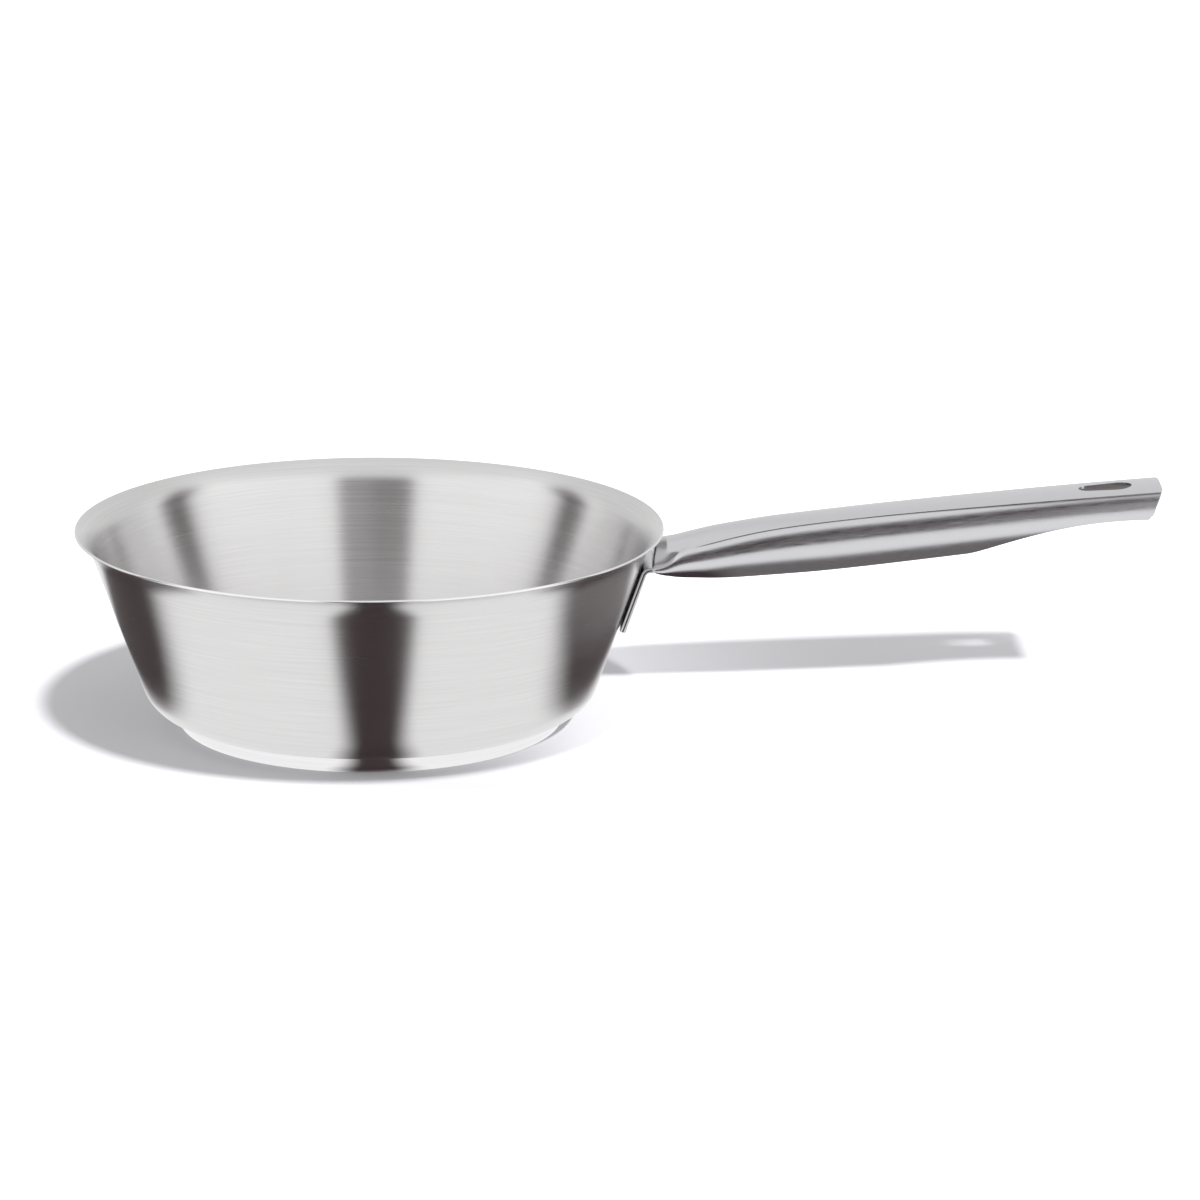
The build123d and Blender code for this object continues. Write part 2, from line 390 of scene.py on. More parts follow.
def arc(centre, radius, start, end, count):
    """Points of a circular arc from one angle to another, in radians."""
    turn = np.linspace(start, end, count)
    return np.stack([centre[0] + radius * np.cos(turn), centre[1] + radius * np.sin(turn)], -1)


def line(start, end, count):
    """Evenly spaced points from start to end."""
    return np.linspace(start, end, count)


def path_of(*stretches):
    """One path from stretches that meet, each meeting point kept once, with its length so far."""
    points = np.concatenate([stretches[0]] + [stretch[1:] for stretch in stretches[1:]])
    run = np.concatenate([[0], np.cumsum(np.linalg.norm(np.diff(points, axis=0), axis=1))])
    return points, run


# Columns of a surface turned about the pan's axis
turn_columns = 360


def turned(profile, run, count):
    """Grid of a profile of (radius, height) turned about Z, and its map.

    A point is (radius cos a, radius sin a, height) for the angle a. The map's U is the share of a
    turn, and V the length along the profile in metres.
    """
    a = np.linspace(0, 2 * math.pi, count + 1)
    radius, height = profile[:, :1], profile[:, 1:]
    points = np.stack([radius * np.cos(a), radius * np.sin(a), height + 0 * a], -1)
    uv = np.stack([a / (2 * math.pi) + 0 * radius, run[:, None] + 0 * a], -1)
    return points, uv


def wall_ways():
    """Unit steps up along the bowl's wall and straight out from it, as (radius, height)."""
    slope = bpy.context.scene.pan_bowl.wall_angle
    return np.array([math.sin(slope), math.cos(slope)]), np.array([math.cos(slope), -math.sin(slope)])


def bowl_places():
    """Centres of the bowl's two curves, and the way out from its wall, worked out from its sizes.

    The flare hangs from the rim, the straight wall leaves it at the wall's angle, and the corner
    touches both the wall and the floor.
    """
    s = bpy.context.scene.pan_bowl
    slope, flare = s.wall_angle, s.flare_angle
    _, off_wall = wall_ways()
    rim_edge = np.array([s.rim_radius, s.height - s.sheet * math.sin(flare)])
    flare_centre = rim_edge + np.array([math.cos(flare), -math.sin(flare)]) * s.flare_radius
    wall_top = flare_centre - off_wall * s.flare_radius
    floor_edge = wall_top[0] - (wall_top[1] - s.foot) * math.tan(slope)
    flat = floor_edge - s.corner_radius * math.tan((math.pi / 2 - slope) / 2)
    corner_centre = np.array([flat, s.foot + s.corner_radius])
    return off_wall, flare_centre, corner_centre


def bowl_side(inset, rim_trim):
    """Points of one face of the sheet from the axis to just before the rim."""
    s = bpy.context.scene.pan_bowl
    off_wall, flare_centre, corner_centre = bowl_places()
    slope, flare = s.wall_angle, s.flare_angle
    corner, flared = s.corner_radius - inset, s.flare_radius + inset
    floor = s.foot + inset
    flare_start, flare_end = math.pi - slope, math.pi - flare + rim_trim / flared
    return path_of(
        line((0, floor), (corner_centre[0], floor), 40),
        arc(corner_centre, corner, -math.pi / 2, -slope, 22),
        line(corner_centre + off_wall * corner, flare_centre - off_wall * flared, 36),
        arc(flare_centre, flared, flare_start, flare_end, 18),
    )


class PAN_OT_bowl(bpy.types.Operator):
    """Add the spun bowl"""

    bl_idname = "pan.bowl"
    bl_label = "Bowl"

    def execute(self, context):
        s = context.scene.pan_bowl
        outer, outer_run = bowl_side(0, s.rim_round)
        inner, inner_run = bowl_side(s.sheet, s.rim_round)
        across = np.array([-math.cos(s.flare_angle), math.sin(s.flare_angle)])
        tip_angle = math.pi / 2 - s.flare_angle
        low = outer[-1] + across * s.rim_round
        high = inner[-1] - across * s.rim_round
        rim, rim_run = path_of(
            arc(low, s.rim_round, tip_angle - math.pi / 2, tip_angle, 6),
            arc(high, s.rim_round, tip_angle, tip_angle + math.pi / 2, 6),
        )
        # The rim's ends lie exactly on the two faces, so that the grids join
        rim[0], rim[-1] = outer[-1], inner[-1]
        patches = [
            (*turned(outer, outer_run, turn_columns), 0),
            (*turned(rim, rim_run, turn_columns), 1),
            (*turned(inner[::-1], inner_run[::-1], turn_columns), 0),
        ]
        piece = make_piece("bowl_shell", patches, [satin_steel(), polished_steel()])
        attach(piece, "root")
        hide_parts("bowl")
        return {"FINISHED"}


class PAN_OT_base(bpy.types.Operator):
    """Add the polished cup of the base, and dress the disc inside it"""

    bl_idname = "pan.base"
    bl_label = "Base"

    def execute(self, context):
        s = context.scene.pan_base
        inner_radius, inner_corner = s.radius - s.sheet, s.corner_radius - s.sheet
        edge = s.sheet / 2
        outline, run = path_of(
            line((0, 0), (s.radius - s.corner_radius, 0), 30),
            arc((s.radius - s.corner_radius, s.corner_radius), s.corner_radius, -math.pi / 2, 0, 16),
            line((s.radius, s.corner_radius), (s.radius, s.height - edge), 5),
            arc((s.radius - edge, s.height - edge), edge, 0, math.pi, 9),
            line((inner_radius, s.height - edge), (inner_radius, s.corner_radius), 5),
            arc((inner_radius - inner_corner, s.corner_radius), inner_corner, 0, -math.pi / 2, 10),
            line((inner_radius - inner_corner, s.sheet), (0, s.sheet), 4),
        )
        piece = make_piece("base_cup", [(*turned(outline, run, turn_columns), 0)], [polished_steel()])
        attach(piece, "root")
        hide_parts("base_cap")
        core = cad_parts["core_disc"]
        core.data.materials.clear()
        core.data.materials.append(rolled_aluminium())
        return {"FINISHED"}


# Stations of the tube from the neck to past the tip. Each row gives the share of the handle's
# length, of its rise, of the added depth, of the spread to the tab's width, of the arch on top,
# and of the pinch beside the arch.
tube_shares = np.array(
    (
        (0.000, 0.000, 0.000, 1.00, 0.000, 0.00),
        (0.003, 0.003, 0.040, 0.99, 0.780, 0.40),
        (0.008, 0.009, 0.090, 0.98, 1.180, 0.80),
        (0.018, 0.028, 0.165, 0.95, 1.150, 1.00),
        (0.030, 0.068, 0.265, 0.85, 1.030, 1.00),
        (0.045, 0.140, 0.417, 0.69, 0.771, 0.70),
        (0.065, 0.209, 0.550, 0.52, 0.614, 0.28),
        (0.090, 0.260, 0.639, 0.41, 0.571, 0.05),
        (0.125, 0.320, 0.741, 0.29, 0.540, 0.00),
        (0.175, 0.400, 0.850, 0.17, 0.425, 0.00),
        (0.240, 0.485, 0.935, 0.08, 0.323, 0.00),
        (0.325, 0.566, 0.990, 0.02, 0.215, 0.00),
        (0.430, 0.648, 1.000, 0.00, 0.153, 0.00),
        (0.550, 0.731, 0.976, 0.13, 0.125, 0.00),
        (0.700, 0.826, 0.920, 0.38, 0.120, 0.00),
        (0.850, 0.917, 0.848, 0.56, 0.120, 0.00),
        (1.000, 1.000, 0.816, 0.60, 0.120, 0.00),
        (1.150, 1.077, 0.797, 0.60, 0.120, 0.00),
    )
)
# Reach of the Bezier handles on the tube's lower quarters, round and folded flat, and on the short
# arcs above its widest line
round_share, folded_share = 0.5523, 0.92
shoulder_out_share, shoulder_down_share, shoulder_up_share = 0.65, 0.286, 0.362
# Height of the arch's flank as a share of the arch, and the share that a full pinch adds to it
flank_share, flank_pinch_share = 2 / 3, 0.3
# Handles of the cut that opens the underside
mouth_start_shares, mouth_end_shares = (0.36, 0.70), (0.34, 0.02)
# Way in which the crease's step drops, and how far past the neck it begins. It is full twice as far.
step_way, step_start = (0.77, 0.64), 12 * MM
# Stretches past the mouth's start and before the tip where the grid's rows lie close together
mouth_stretch, tip_stretch = 14 * MM, 12 * MM
# Opening left for the hanging slot's own ring of faces: its margin along the tube and half its width
ring_margin, ring_half_width = 3 * MM, 8 * MM
# Points on the arched top, on the shoulder and on the lower quarter of half a section
section_counts = (36, 36, 34)


def smooth_rows(rows, at):
    """Natural cubic spline through evenly numbered rows, evaluated at the numbers in at."""
    count = len(rows)
    matrix = 4 * np.eye(count) + np.eye(count, k=1) + np.eye(count, k=-1)
    matrix[0, :2], matrix[-1, -2:] = (1, 0), (0, 1)
    right = np.zeros_like(rows)
    right[1:-1] = 6 * (rows[2:] - 2 * rows[1:-1] + rows[:-2])
    bends = np.linalg.solve(matrix, right)
    before = np.clip(np.floor(at).astype(int), 0, count - 2)
    t = (at - before)[..., None]
    low, high = rows[before], rows[before + 1]
    curve = ((1 - t) ** 3 - (1 - t)) / 6 * bends[before] + (t**3 - t) / 6 * bends[before + 1]
    return low * (1 - t) + high * t + curve


def shares_at(run):
    """The station table's shares at any share of the handle's length."""
    numbers = np.linspace(0, len(tube_shares) - 1, 2000)
    runs = smooth_rows(tube_shares, numbers)[:, 0]
    values = smooth_rows(tube_shares, np.interp(run, runs, numbers))
    return [values[..., k] for k in range(1, 6)]


def cubic(first, second, third, fourth, t):
    """Point of a cubic Bezier curve at t."""
    return first * (1 - t) ** 3 + 3 * second * t * (1 - t) ** 2 + 3 * third * t**2 * (1 - t) + fourth * t**3


def tube_frame(x, inset):
    """Heights and widths of the tube's section at x, drawn in by an inset.

    By the stations' shares they go from the two folded layers of the tab to the round tube.
    """
    s = bpy.context.scene.pan_handle
    layers = 2 * s.wall + s.seam
    rise, swell, spread, arch, pinch = shares_at((x - (s.tip_x - s.length)) / s.length)
    radius = s.diameter / 2
    depth = layers + (s.depth - layers) * swell
    top = s.neck_height + s.rise * rise - inset
    bottom = top - depth + 2 * inset
    return SimpleNamespace(
        top=top,
        bottom=bottom,
        half=radius + (s.tab_width / 2 - radius) * spread - inset,
        crease=s.top_width / 2 + (s.tab_width / 2 - s.fold - s.top_width / 2) * spread - inset,
        widest=bottom + (top - bottom) * radius / s.depth,
        lift=s.arch * arch,
        flank=s.arch * arch * flank_share * (1 + flank_pinch_share * pinch),
        full=round_share + (folded_share - round_share) * layers / depth,
        scoop=s.pinch * pinch,
    )


def mouth_cut(x):
    """Height of the cut that opens the underside at x, rounded up at the tip's lower corner.

    It is a cubic Bezier from the tube's bottom to the tip. Before its start nothing is cut, and the
    height is a metre under the table.
    """
    s = bpy.context.scene.pan_handle
    top = s.neck_height + s.rise
    end = (s.tip_x - s.tip_slant, top - s.mouth_wall)
    start_x = s.tip_x - s.mouth_length
    start = (start_x, float(tube_frame(np.array(start_x), 0).bottom))
    reach = (end[0] - start[0], end[1] - start[1])
    t = np.linspace(0, 1, 400)
    rising = [start[k] + reach[k] * mouth_start_shares[k] for k in (0, 1)]
    level_out = [end[k] - reach[k] * mouth_end_shares[k] for k in (0, 1)]
    run = cubic(start[0], rising[0], level_out[0], end[0], t)
    height = cubic(start[1], rising[1], level_out[1], end[1], t)
    from_end = np.clip(x - (end[0] - s.tip_edge), 0, s.tip_edge)
    corner = s.tip_edge - np.sqrt(s.tip_edge**2 - from_end**2)
    return np.where(x < start_x, -1.0, np.interp(x, run, height) + corner)


def lower_end(x, inset):
    """Share of the lower quarter that stays above the mouth's cut, by Newton's method.

    The share and the curve's slope are kept off 0, where the steps would run away.
    """
    f = tube_frame(x, inset)
    least_share, least_slope = 0.02, 0.05
    wanted = np.clip((f.widest - mouth_cut(x)) / (f.widest - f.bottom), least_share, 1)
    t = wanted.copy()
    for _ in range(12):
        value = cubic(0, f.full, 1, 1, t) - wanted
        slope = 3 * f.full * (1 - t) ** 2 + 6 * (1 - f.full) * t * (1 - t)
        t = np.clip(t - value / np.maximum(slope, least_slope), 0, 1)
    return np.where(wanted >= 1, 1.0, t)


def half_section(x, inset):
    """Half of the tube's section, from the top's middle down to the bottom or the mouth's edge.

    It is three cubic Beziers: the arched top, the shoulder down to the widest line, and the lower
    quarter. The shoulder's points lie closer together at the crease. The pinch is a bell-shaped
    hollow in the top, gone at the crease, and the step drops right below the crease and runs out
    again. x has one row for each station, and y and z come back with one column for each point.
    """
    tops, shoulders, lows = section_counts
    stretches = (slice(0, tops), slice(tops, tops + shoulders), slice(tops + shoulders, None))
    f = tube_frame(x, inset)

    def part(number, *values):
        return [v[:, stretches[number]] if v.shape[1] > 1 else v for v in values]

    t = np.sin(np.linspace(0, math.pi / 2, tops))[None, :]
    crease, top, lift, flank = part(0, f.crease, f.top, f.lift, f.flank)
    y = [crease * t]
    z = [cubic(top + lift, top + lift, top + flank, top, t)]
    t = np.linspace(0, 1, shoulders + 1)[None, 1:] ** 1.4
    crease, half, top, widest = part(1, f.crease, f.half, f.top, f.widest)
    out, drop = half - crease, top - widest
    y.append(cubic(crease, crease + out * shoulder_out_share, half, half, t))
    z.append(cubic(top, top - drop * shoulder_down_share, widest + drop * shoulder_up_share, widest, t))
    half, full, widest, bottom, end = part(2, f.half, f.full, f.widest, f.bottom, lower_end(x, inset))
    t = np.linspace(0, 1, lows + 1)[None, 1:] * end
    y.append(cubic(half, half, half * full, 0, t))
    z.append(cubic(widest, widest - (widest - bottom) * full, bottom, bottom, t))
    s = bpy.context.scene.pan_handle
    y, z = np.concatenate(y, 1), np.concatenate(z, 1)
    on_top = np.arange(y.shape[1]) < tops
    beside = np.exp(-(((y - f.crease + s.pinch_place) / s.pinch_width) ** 2))
    z = z - f.scoop * beside * on_top * np.clip((f.crease - y) / MM, 0, 1)
    below = np.hypot(y - f.crease, z - f.top) * ~on_top
    step = s.step * (1 - np.exp(-below / s.step_edge)) * np.exp(-below / s.step_fade)
    step = step * np.clip((x - (s.tip_x - s.length)) / step_start - 1, 0, 1) * (inset == 0)
    return y - step_way[0] * step, z - step_way[1] * step


def tip_end(y, z):
    """How far the tip reaches at a place: less low down, where it slants, and in its plan corners.

    A corner is a circle in plan, left just before it turns straight back along the tube.
    """
    s = bpy.context.scene.pan_handle
    slanted = s.tip_x - s.tip_slant * (s.neck_height + s.rise - z) / s.mouth_wall
    beside = np.clip(np.abs(y) - (s.tab_width / 2 - s.tip_corner), 0, s.tip_corner * 0.999)
    cornered = s.tip_x - s.tip_corner + np.sqrt(s.tip_corner**2 - beside**2)
    return np.minimum(np.minimum(slanted, cornered), s.tip_x)


def stations():
    """Places of the grid's rows along the tube: close together at the neck, mouth and tip."""
    s = bpy.context.scene.pan_handle
    neck, mouth = s.tip_x - s.length, s.tip_x - s.mouth_length
    throat_end, swell_end = np.array([0.06, 0.16]) * (mouth - neck) + neck
    ease = np.linspace(0, 1, 26) ** 2
    return np.concatenate([
        np.linspace(neck, throat_end, 30)[:-1],
        np.linspace(throat_end, swell_end, 18)[:-1],
        np.linspace(swell_end, mouth, 60)[:-1],
        mouth + ease * mouth_stretch,
        np.linspace(mouth + mouth_stretch, s.tip_x - tip_stretch, 48)[1:],
        np.linspace(s.tip_x - tip_stretch, s.tip_x, 30)[1:],
    ])


def tube_side(inset, side):
    """Grid of one half of the tube's outer or inner face, from the top's middle to its lower edge.

    Near the tip the rows are drawn back to the tip's shape, in a few rounds, because a row's section
    changes with its place.
    """
    s = bpy.context.scene.pan_handle
    x = stations()[:, None]
    y, z = half_section(x, inset)
    near_tip = np.clip((x - (s.tip_x - tip_stretch)) / tip_stretch, 0, 1)
    for _ in range(3):
        moved = x + near_tip * (tip_end(y, z) - s.tip_x)
        y, z = half_section(moved, inset)
    return np.stack([moved, side * y, z], -1)


def section_map(points):
    """Map of a grid along the tube: U along it, V round it, both in metres."""
    steps = np.linalg.norm(np.diff(points, axis=1), axis=2)
    around = np.concatenate([np.zeros((len(points), 1)), np.cumsum(steps, axis=1)], 1)
    return np.stack([points[..., 0], around], -1)


def slot_outline(turn):
    """Point of the teardrop slot at a turn about its middle, as the hull of two circles.

    Each direction from the middle meets a circle or one of the two straight tangents between
    them, and the farthest of these places is the outline's.
    """
    s = bpy.context.scene.pan_handle
    wide = s.tip_x - s.slot_margin - s.slot_wide
    narrow = s.tip_x - s.slot_margin - s.slot_length + s.slot_narrow
    middle = (wide + narrow) / 2
    reach = (wide - narrow) / 2
    lean = math.asin((s.slot_wide - s.slot_narrow) / (2 * reach))
    direction = np.stack([np.cos(turn), np.sin(turn)], -1)

    def ray(centre, radius):
        along = direction[..., 0] * centre
        inside = radius**2 - centre**2 + along**2
        return np.where(inside > 0, along + np.sqrt(np.maximum(inside, 0)), 0)

    tangent = np.array([-math.sin(lean), math.cos(lean)])
    offset = reach * tangent[0] + s.slot_wide
    across = direction[..., 0] * tangent[0] + np.abs(direction[..., 1]) * tangent[1]
    straight = offset / np.maximum(across, 1e-6)
    touch = straight[..., None] * np.stack([direction[..., 0], np.abs(direction[..., 1])], -1)
    along = touch[..., 0] * tangent[1] - touch[..., 1] * tangent[0]
    between = np.abs(along) < reach * math.cos(lean)
    round_ends = np.maximum(ray(reach, s.slot_wide), ray(-reach, s.slot_narrow))
    distance = np.where(between, straight, round_ends)
    return middle, distance[..., None] * direction


def top_height(x, y, inset):
    """Height of the arched top over a place in plan."""
    f = tube_frame(x, inset)
    return cubic(f.top + f.lift, f.top + f.lift, f.top + f.flank, f.top, np.abs(y) / f.crease)


def slot_ring(left, right, first, last, limit, inset):
    """Grid from the slot's edge out to the opening that the two halves of a face leave for it.

    Each point of the opening's border is joined to the slot's edge in the same direction, and the
    rows between them lie closer together at the edge.
    """
    border = np.concatenate([
        right[last, :limit],
        right[first : last + 1, limit][::-1],
        right[first, :limit][::-1],
        left[first, 1:limit],
        left[first : last + 1, limit],
        left[last, :limit][::-1],
    ])
    middle, _ = slot_outline(np.zeros(1))
    turn = np.arctan2(border[:, 1], border[:, 0] - middle)
    _, edge = slot_outline(turn)
    edge = edge + np.array([middle, 0])
    blend = np.linspace(0, 1, 9)[:, None, None] ** 1.3
    plan = edge + (border[:, :2] - edge) * blend
    height = top_height(plan[..., 0], plan[..., 1], inset)
    height[-1] = border[:, 2]
    return np.concatenate([plan, height[..., None]], -1)


def edge_strip(outer, inner, count):
    """Patch of the sheet's cut edge between two lines, its map's V running through the sheet."""
    strip = np.linspace(outer, inner, count)
    return strip, section_map(strip.transpose(1, 0, 2)).transpose(1, 0, 2), 0


class PAN_OT_handle(bpy.types.Operator):
    """Add the tube handle with its tab, open tip and hanging slot"""

    bl_idname = "pan.handle"
    bl_label = "Handle"

    def execute(self, context):
        s = context.scene.pan_handle
        faces = (0, s.wall)
        grids = {(inset, side): tube_side(inset, side) for inset in faces for side in (-1, 1)}
        rows = stations()
        slot_end = s.tip_x - s.slot_margin
        first = int(np.searchsorted(rows, slot_end - s.slot_length - ring_margin)) - 1
        last = int(np.searchsorted(rows, slot_end + ring_margin))
        limit = int(np.searchsorted(grids[0, 1][first, : section_counts[0], 1], ring_half_width))
        blocks = (
            (slice(0, first + 1), slice(0, None)),
            (slice(last, None), slice(0, None)),
            (slice(first, last + 1), slice(limit, None)),
        )
        patches, rims = [], []
        for inset in faces:
            # The inner face takes the raw steel, darkened with painted shade
            metal = int(inset > 0)
            for side in (-1, 1):
                grid = grids[inset, side]
                uv = section_map(grid)
                patches += [(grid[block], uv[block], metal) for block in blocks]
            ring = slot_ring(grids[inset, -1], grids[inset, 1], first, last, limit, inset)
            patches.append((ring, ring[..., :2], metal))
            rims.append(ring[0])
        patches.append(edge_strip(*rims, 5))
        open_from = int(np.argmax(rows >= s.tip_x - s.mouth_length))
        for side in (-1, 1):
            outer, inner = grids[0, side], grids[s.wall, side]
            cut, within = outer[open_from:, -1], inner[open_from:, -1].copy()
            # The inner face opens some rows after the outer one, and until then its edge is shut
            shut = int(np.sum(np.abs(within[:, 1]) < 1e-9)) - 1
            within[:shut, 2] = cut[:shut, 2]
            patches.append(edge_strip(cut, within, 4))
            for row in (0, -1):
                end = np.linspace(outer[row], inner[row], 4)
                patches.append((end, section_map(end), 0))
        metals = [tube_steel(), raw_steel_with_painted_shade()]
        piece = make_piece("handle_tube", patches, metals, sharp=math.radians(30))
        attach(piece, "root")
        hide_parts("handle")
        for name, near in (("handle_tab_inner", 0), ("handle_tab_outer", s.wall + s.seam)):
            layer = make_piece(name, tab_layer(near), metals)
            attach(layer, "root")
        return {"FINISHED"}


def tab_rail(depth):
    """Line, bend and neck of the tab at a depth from its wall side, foot end first.

    It ends a little inside the tube, so that no gap shows at the neck.
    """
    s = bpy.context.scene.pan_handle
    up_wall, off_wall = wall_ways()
    slope = bpy.context.scene.pan_bowl.wall_angle
    centre = np.array([s.tip_x - s.length - s.neck_length, s.neck_height - s.bend_radius])
    radius = s.bend_radius - depth
    start = centre - off_wall * radius
    overlap = 0.4 * MM
    return path_of(
        line(start - up_wall * s.tab_length, start - up_wall * (s.tab_length - s.tab_foot), 14),
        line(start - up_wall * (s.tab_length - s.tab_foot), start, 40),
        arc(centre, radius, math.pi - slope, math.pi / 2, 16),
        line(centre + (0, radius), centre + (s.neck_length + overlap, radius), 3),
    )


def tab_layer(near):
    """Closed plate of one layer of the tab, with rounded edges and rounded lower corners.

    Each place on the rail carries a flat section: two faces, and a half round at either side. The
    half width follows a circle over the first stretch, which rounds the foot's corners. The face on
    the seam is dull and darker, with painted shade, from the middle of one half round to the middle
    of the other.
    """
    s = bpy.context.scene.pan_handle
    face_near, run = tab_rail(near)
    face_far, _ = tab_rail(near + s.wall)
    radius = s.tab_edge
    foot = np.clip(s.tab_foot - run, 0, s.tab_foot)
    half = s.tab_width / 2 - s.tab_foot + np.sqrt(s.tab_foot**2 - foot**2)
    flat_count, turn_count = 24, 7
    turn = np.linspace(0, math.pi / 2, turn_count)
    corner = (1 - np.cos(turn)) * radius / s.wall
    side_out = np.concatenate([np.sin(turn), np.sin(turn[::-1])]) * radius
    side_deep = np.concatenate([corner, 1 - corner[::-1]])
    flat = np.linspace(-1, 1, flat_count)
    inner = half[:, None] - radius
    y = np.concatenate([inner * flat, inner + side_out, inner * flat[::-1], -(inner + side_out[::-1])], 1)
    deep = np.concatenate([np.zeros(flat_count), side_deep, np.ones(flat_count), side_deep[::-1]])
    place = face_near[:, None] * (1 - deep)[None, :, None] + face_far[:, None] * deep[None, :, None]
    points = np.stack([place[..., 0], y, place[..., 1]], -1)
    uv = np.stack([run[:, None] + 0 * y, y], -1)
    first, second = flat_count + turn_count, 2 * flat_count + 3 * turn_count - 1
    if near > 0:
        first, second = first - 1, second + 1
    seam, plain = [slice(first, second + 1)], [slice(0, first + 1), slice(second, None)]
    if near > 0:
        seam, plain = plain, seam
    patches = [(points[:, columns], uv[:, columns], 0) for columns in plain]
    patches += [(points[:, columns], uv[:, columns], 1) for columns in seam]
    for row in (0, -1):
        middle = points[row] * [1, 0, 1]
        cap = np.linspace(points[row], middle, 2)
        patches.append((cap, np.stack([cap[..., 1], cap[..., 2]], -1), 0))
    return patches


class PAN_OT_welds(bpy.types.Operator):
    """Add the four spot welds on the tab"""

    bl_idname = "pan.welds"
    bl_label = "Spot welds"

    def execute(self, context):
        s, h = context.scene.pan_weld, context.scene.pan_handle
        rail, _ = tab_rail(2 * h.wall + h.seam)
        up_wall, off_wall = wall_ways()
        middle = rail[0] + up_wall * h.tab_length / 2
        # Heights over the tab of the weld's middle, of its ring's foot and of its hidden underside
        face, foot, hidden = 0.02 * MM, 0.015 * MM, -0.3 * MM
        r = s.radius
        ring_middle, ring_width = r * 0.86, r * 0.16
        outer, sunk = ring_middle + ring_width, r * 1.05
        ring = arc((ring_middle, 0), ring_width, math.pi * 0.95, 0, 10)
        outline, run = path_of(
            line((0, face), (r * 0.7, foot + face), 8),
            ring * [1, s.ridge / ring_width] + [0, foot],
            line((outer, foot), (sunk, hidden), 3),
            line((sunk, hidden), (0, hidden), 3),
        )
        patches = []
        for along in (-s.along / 2, s.along / 2):
            for across in (-s.across / 2, s.across / 2):
                disc, uv = turned(outline, run, 48)
                centre = middle + up_wall * along
                place = np.stack([
                    centre[0] + disc[..., 0] * up_wall[0] + disc[..., 2] * off_wall[0],
                    across + disc[..., 1],
                    centre[1] + disc[..., 0] * up_wall[1] + disc[..., 2] * off_wall[1],
                ], -1)
                patches.append((place, uv, 0))
        piece = make_piece("weld_marks", patches, [weld_steel()])
        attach(piece, "root")
        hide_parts("spot_welds")
        return {"FINISHED"}


# Setting of a Map Range node for a soft edge, which goes from 0 at its first number to 1 at its second
soft = {"interpolation_type": "SMOOTHSTEP"}

# Soft edges in the room that the metal mirrors, in degrees. A bearing is measured from the camera's
# side, either way, "right" from there to the right, and a height up from the horizon.
room_edges = {
    "front": ("bearing", 20, 14),
    "beside": ("bearing", 83, 92),
    "beside_end": ("bearing", 99, 107),
    "back": ("bearing", 95, 125),
    "low": ("height", 46, 30),
    "rising": ("height", 18, 34),
    "above": ("height", 38, 60),
    "tip": ("right", -2, 6),
    "tip_low": ("height", 22, 14),
}
# Shares by which the unlit front pales higher up, and low down on the side of the handle's tip
rising_share, tip_share = 0.1, 0.4


def studio_world():
    """The room that the metal mirrors, and plain white where the camera looks past the floor.

    Two light panels stand left and right of the camera, with the unlit room between and beside
    them, a pale backdrop behind the pan and a pale ceiling above it. The unlit room's share is
    (front (1 - rising_share rising) (1 - tip_share tip tip_low) + beside - beside_end) low.
    """
    s = bpy.context.scene.pan_stage
    world = bpy.data.worlds.new("studio")
    bpy.context.scene.world = world
    world.use_nodes = True
    world.node_tree.nodes.clear()
    add = partial(node, world.node_tree)
    direction = add("TexCoord").outputs["Generated"]
    x, y, z = add("SeparateXYZ", (direction,)).outputs
    towards = add("Math", (y, -1.0), operation="MULTIPLY")
    right = add("Math", (x, towards), operation="ARCTAN2")
    bearing = add("Math", (right,), operation="ABSOLUTE")
    measures = {"bearing": bearing, "right": right, "height": z}
    edge = {}
    for name, (measure, *degrees) in room_edges.items():
        limits = np.radians(degrees)
        if measure == "height":
            limits = np.sin(limits)
        edge[name] = add("MapRange", (measures[measure], *limits.tolist()), **soft)
    paler = add("Math", (edge["rising"], -rising_share, 1.0), operation="MULTIPLY_ADD")
    tip = add("Math", (edge["tip"], edge["tip_low"]), operation="MULTIPLY")
    tip_paler = add("Math", (tip, -tip_share, 1.0), operation="MULTIPLY_ADD")
    gap = add("Math", (edge["front"], paler), operation="MULTIPLY")
    gap = add("Math", (gap, tip_paler), operation="MULTIPLY")
    beside = add("Math", (edge["beside"], edge["beside_end"]), operation="SUBTRACT")
    both = add("Math", (gap, beside), operation="ADD")
    unlit = add("Math", (both, edge["low"]), operation="MULTIPLY")
    panels = add("MapRange", {"Value": edge["back"], "To Min": s.panel, "To Max": s.back})
    strength = add("Mix", {"Factor": edge["above"], 2: panels, 3: s.overhead})
    lit = add("Background", {"Color": white, "Strength": strength})
    dark = add("Background", {"Color": (*s.dark, 1), "Strength": 1.0})
    room = add("MixShader", (unlit, lit, dark))
    plain = add("Background", {"Color": white, "Strength": 1.0})
    seen = add("LightPath").outputs["Is Camera Ray"]
    mix = add("MixShader", (seen, room, plain))
    add("OutputWorld", {"Surface": mix})


# Painted dark reflections on the table, in metres, which only the metal sees: painted shade. The
# wedge lies in front of the bowl. Its half width grows with the distance in front, from a least width,
# and its middle line leans a little.
wedge_widening, wedge_start, wedge_least, wedge_lean = -0.393, -0.0283, 0.0135, 0.073
wedge_sides, wedge_end = (-0.009, 0.007), (-0.068, -0.080)
# The painted side reflections reach from a front edge back to a line that rises away from the
# bowl, up to a limit. Far out along the handle they are moved and paler.
side_reflection_front, side_reflection_back = (-0.064, -0.019), (-0.02, 0.03)
back_slope, back_start, back_limit = 5.5, -0.575, 0.13
far_edge, far_shift, far_share = (0.14, 0.16), 0.022, 0.14
# Ellipse round the pan and its shadows in which the table keeps its own shade: its middle, its reach,
# and the shares of the reach where the soft edge starts and ends
shade_middle, shade_reach, shade_edge = (0.06, 0.045), (0.34, 0.19), (0.72, 1.05)


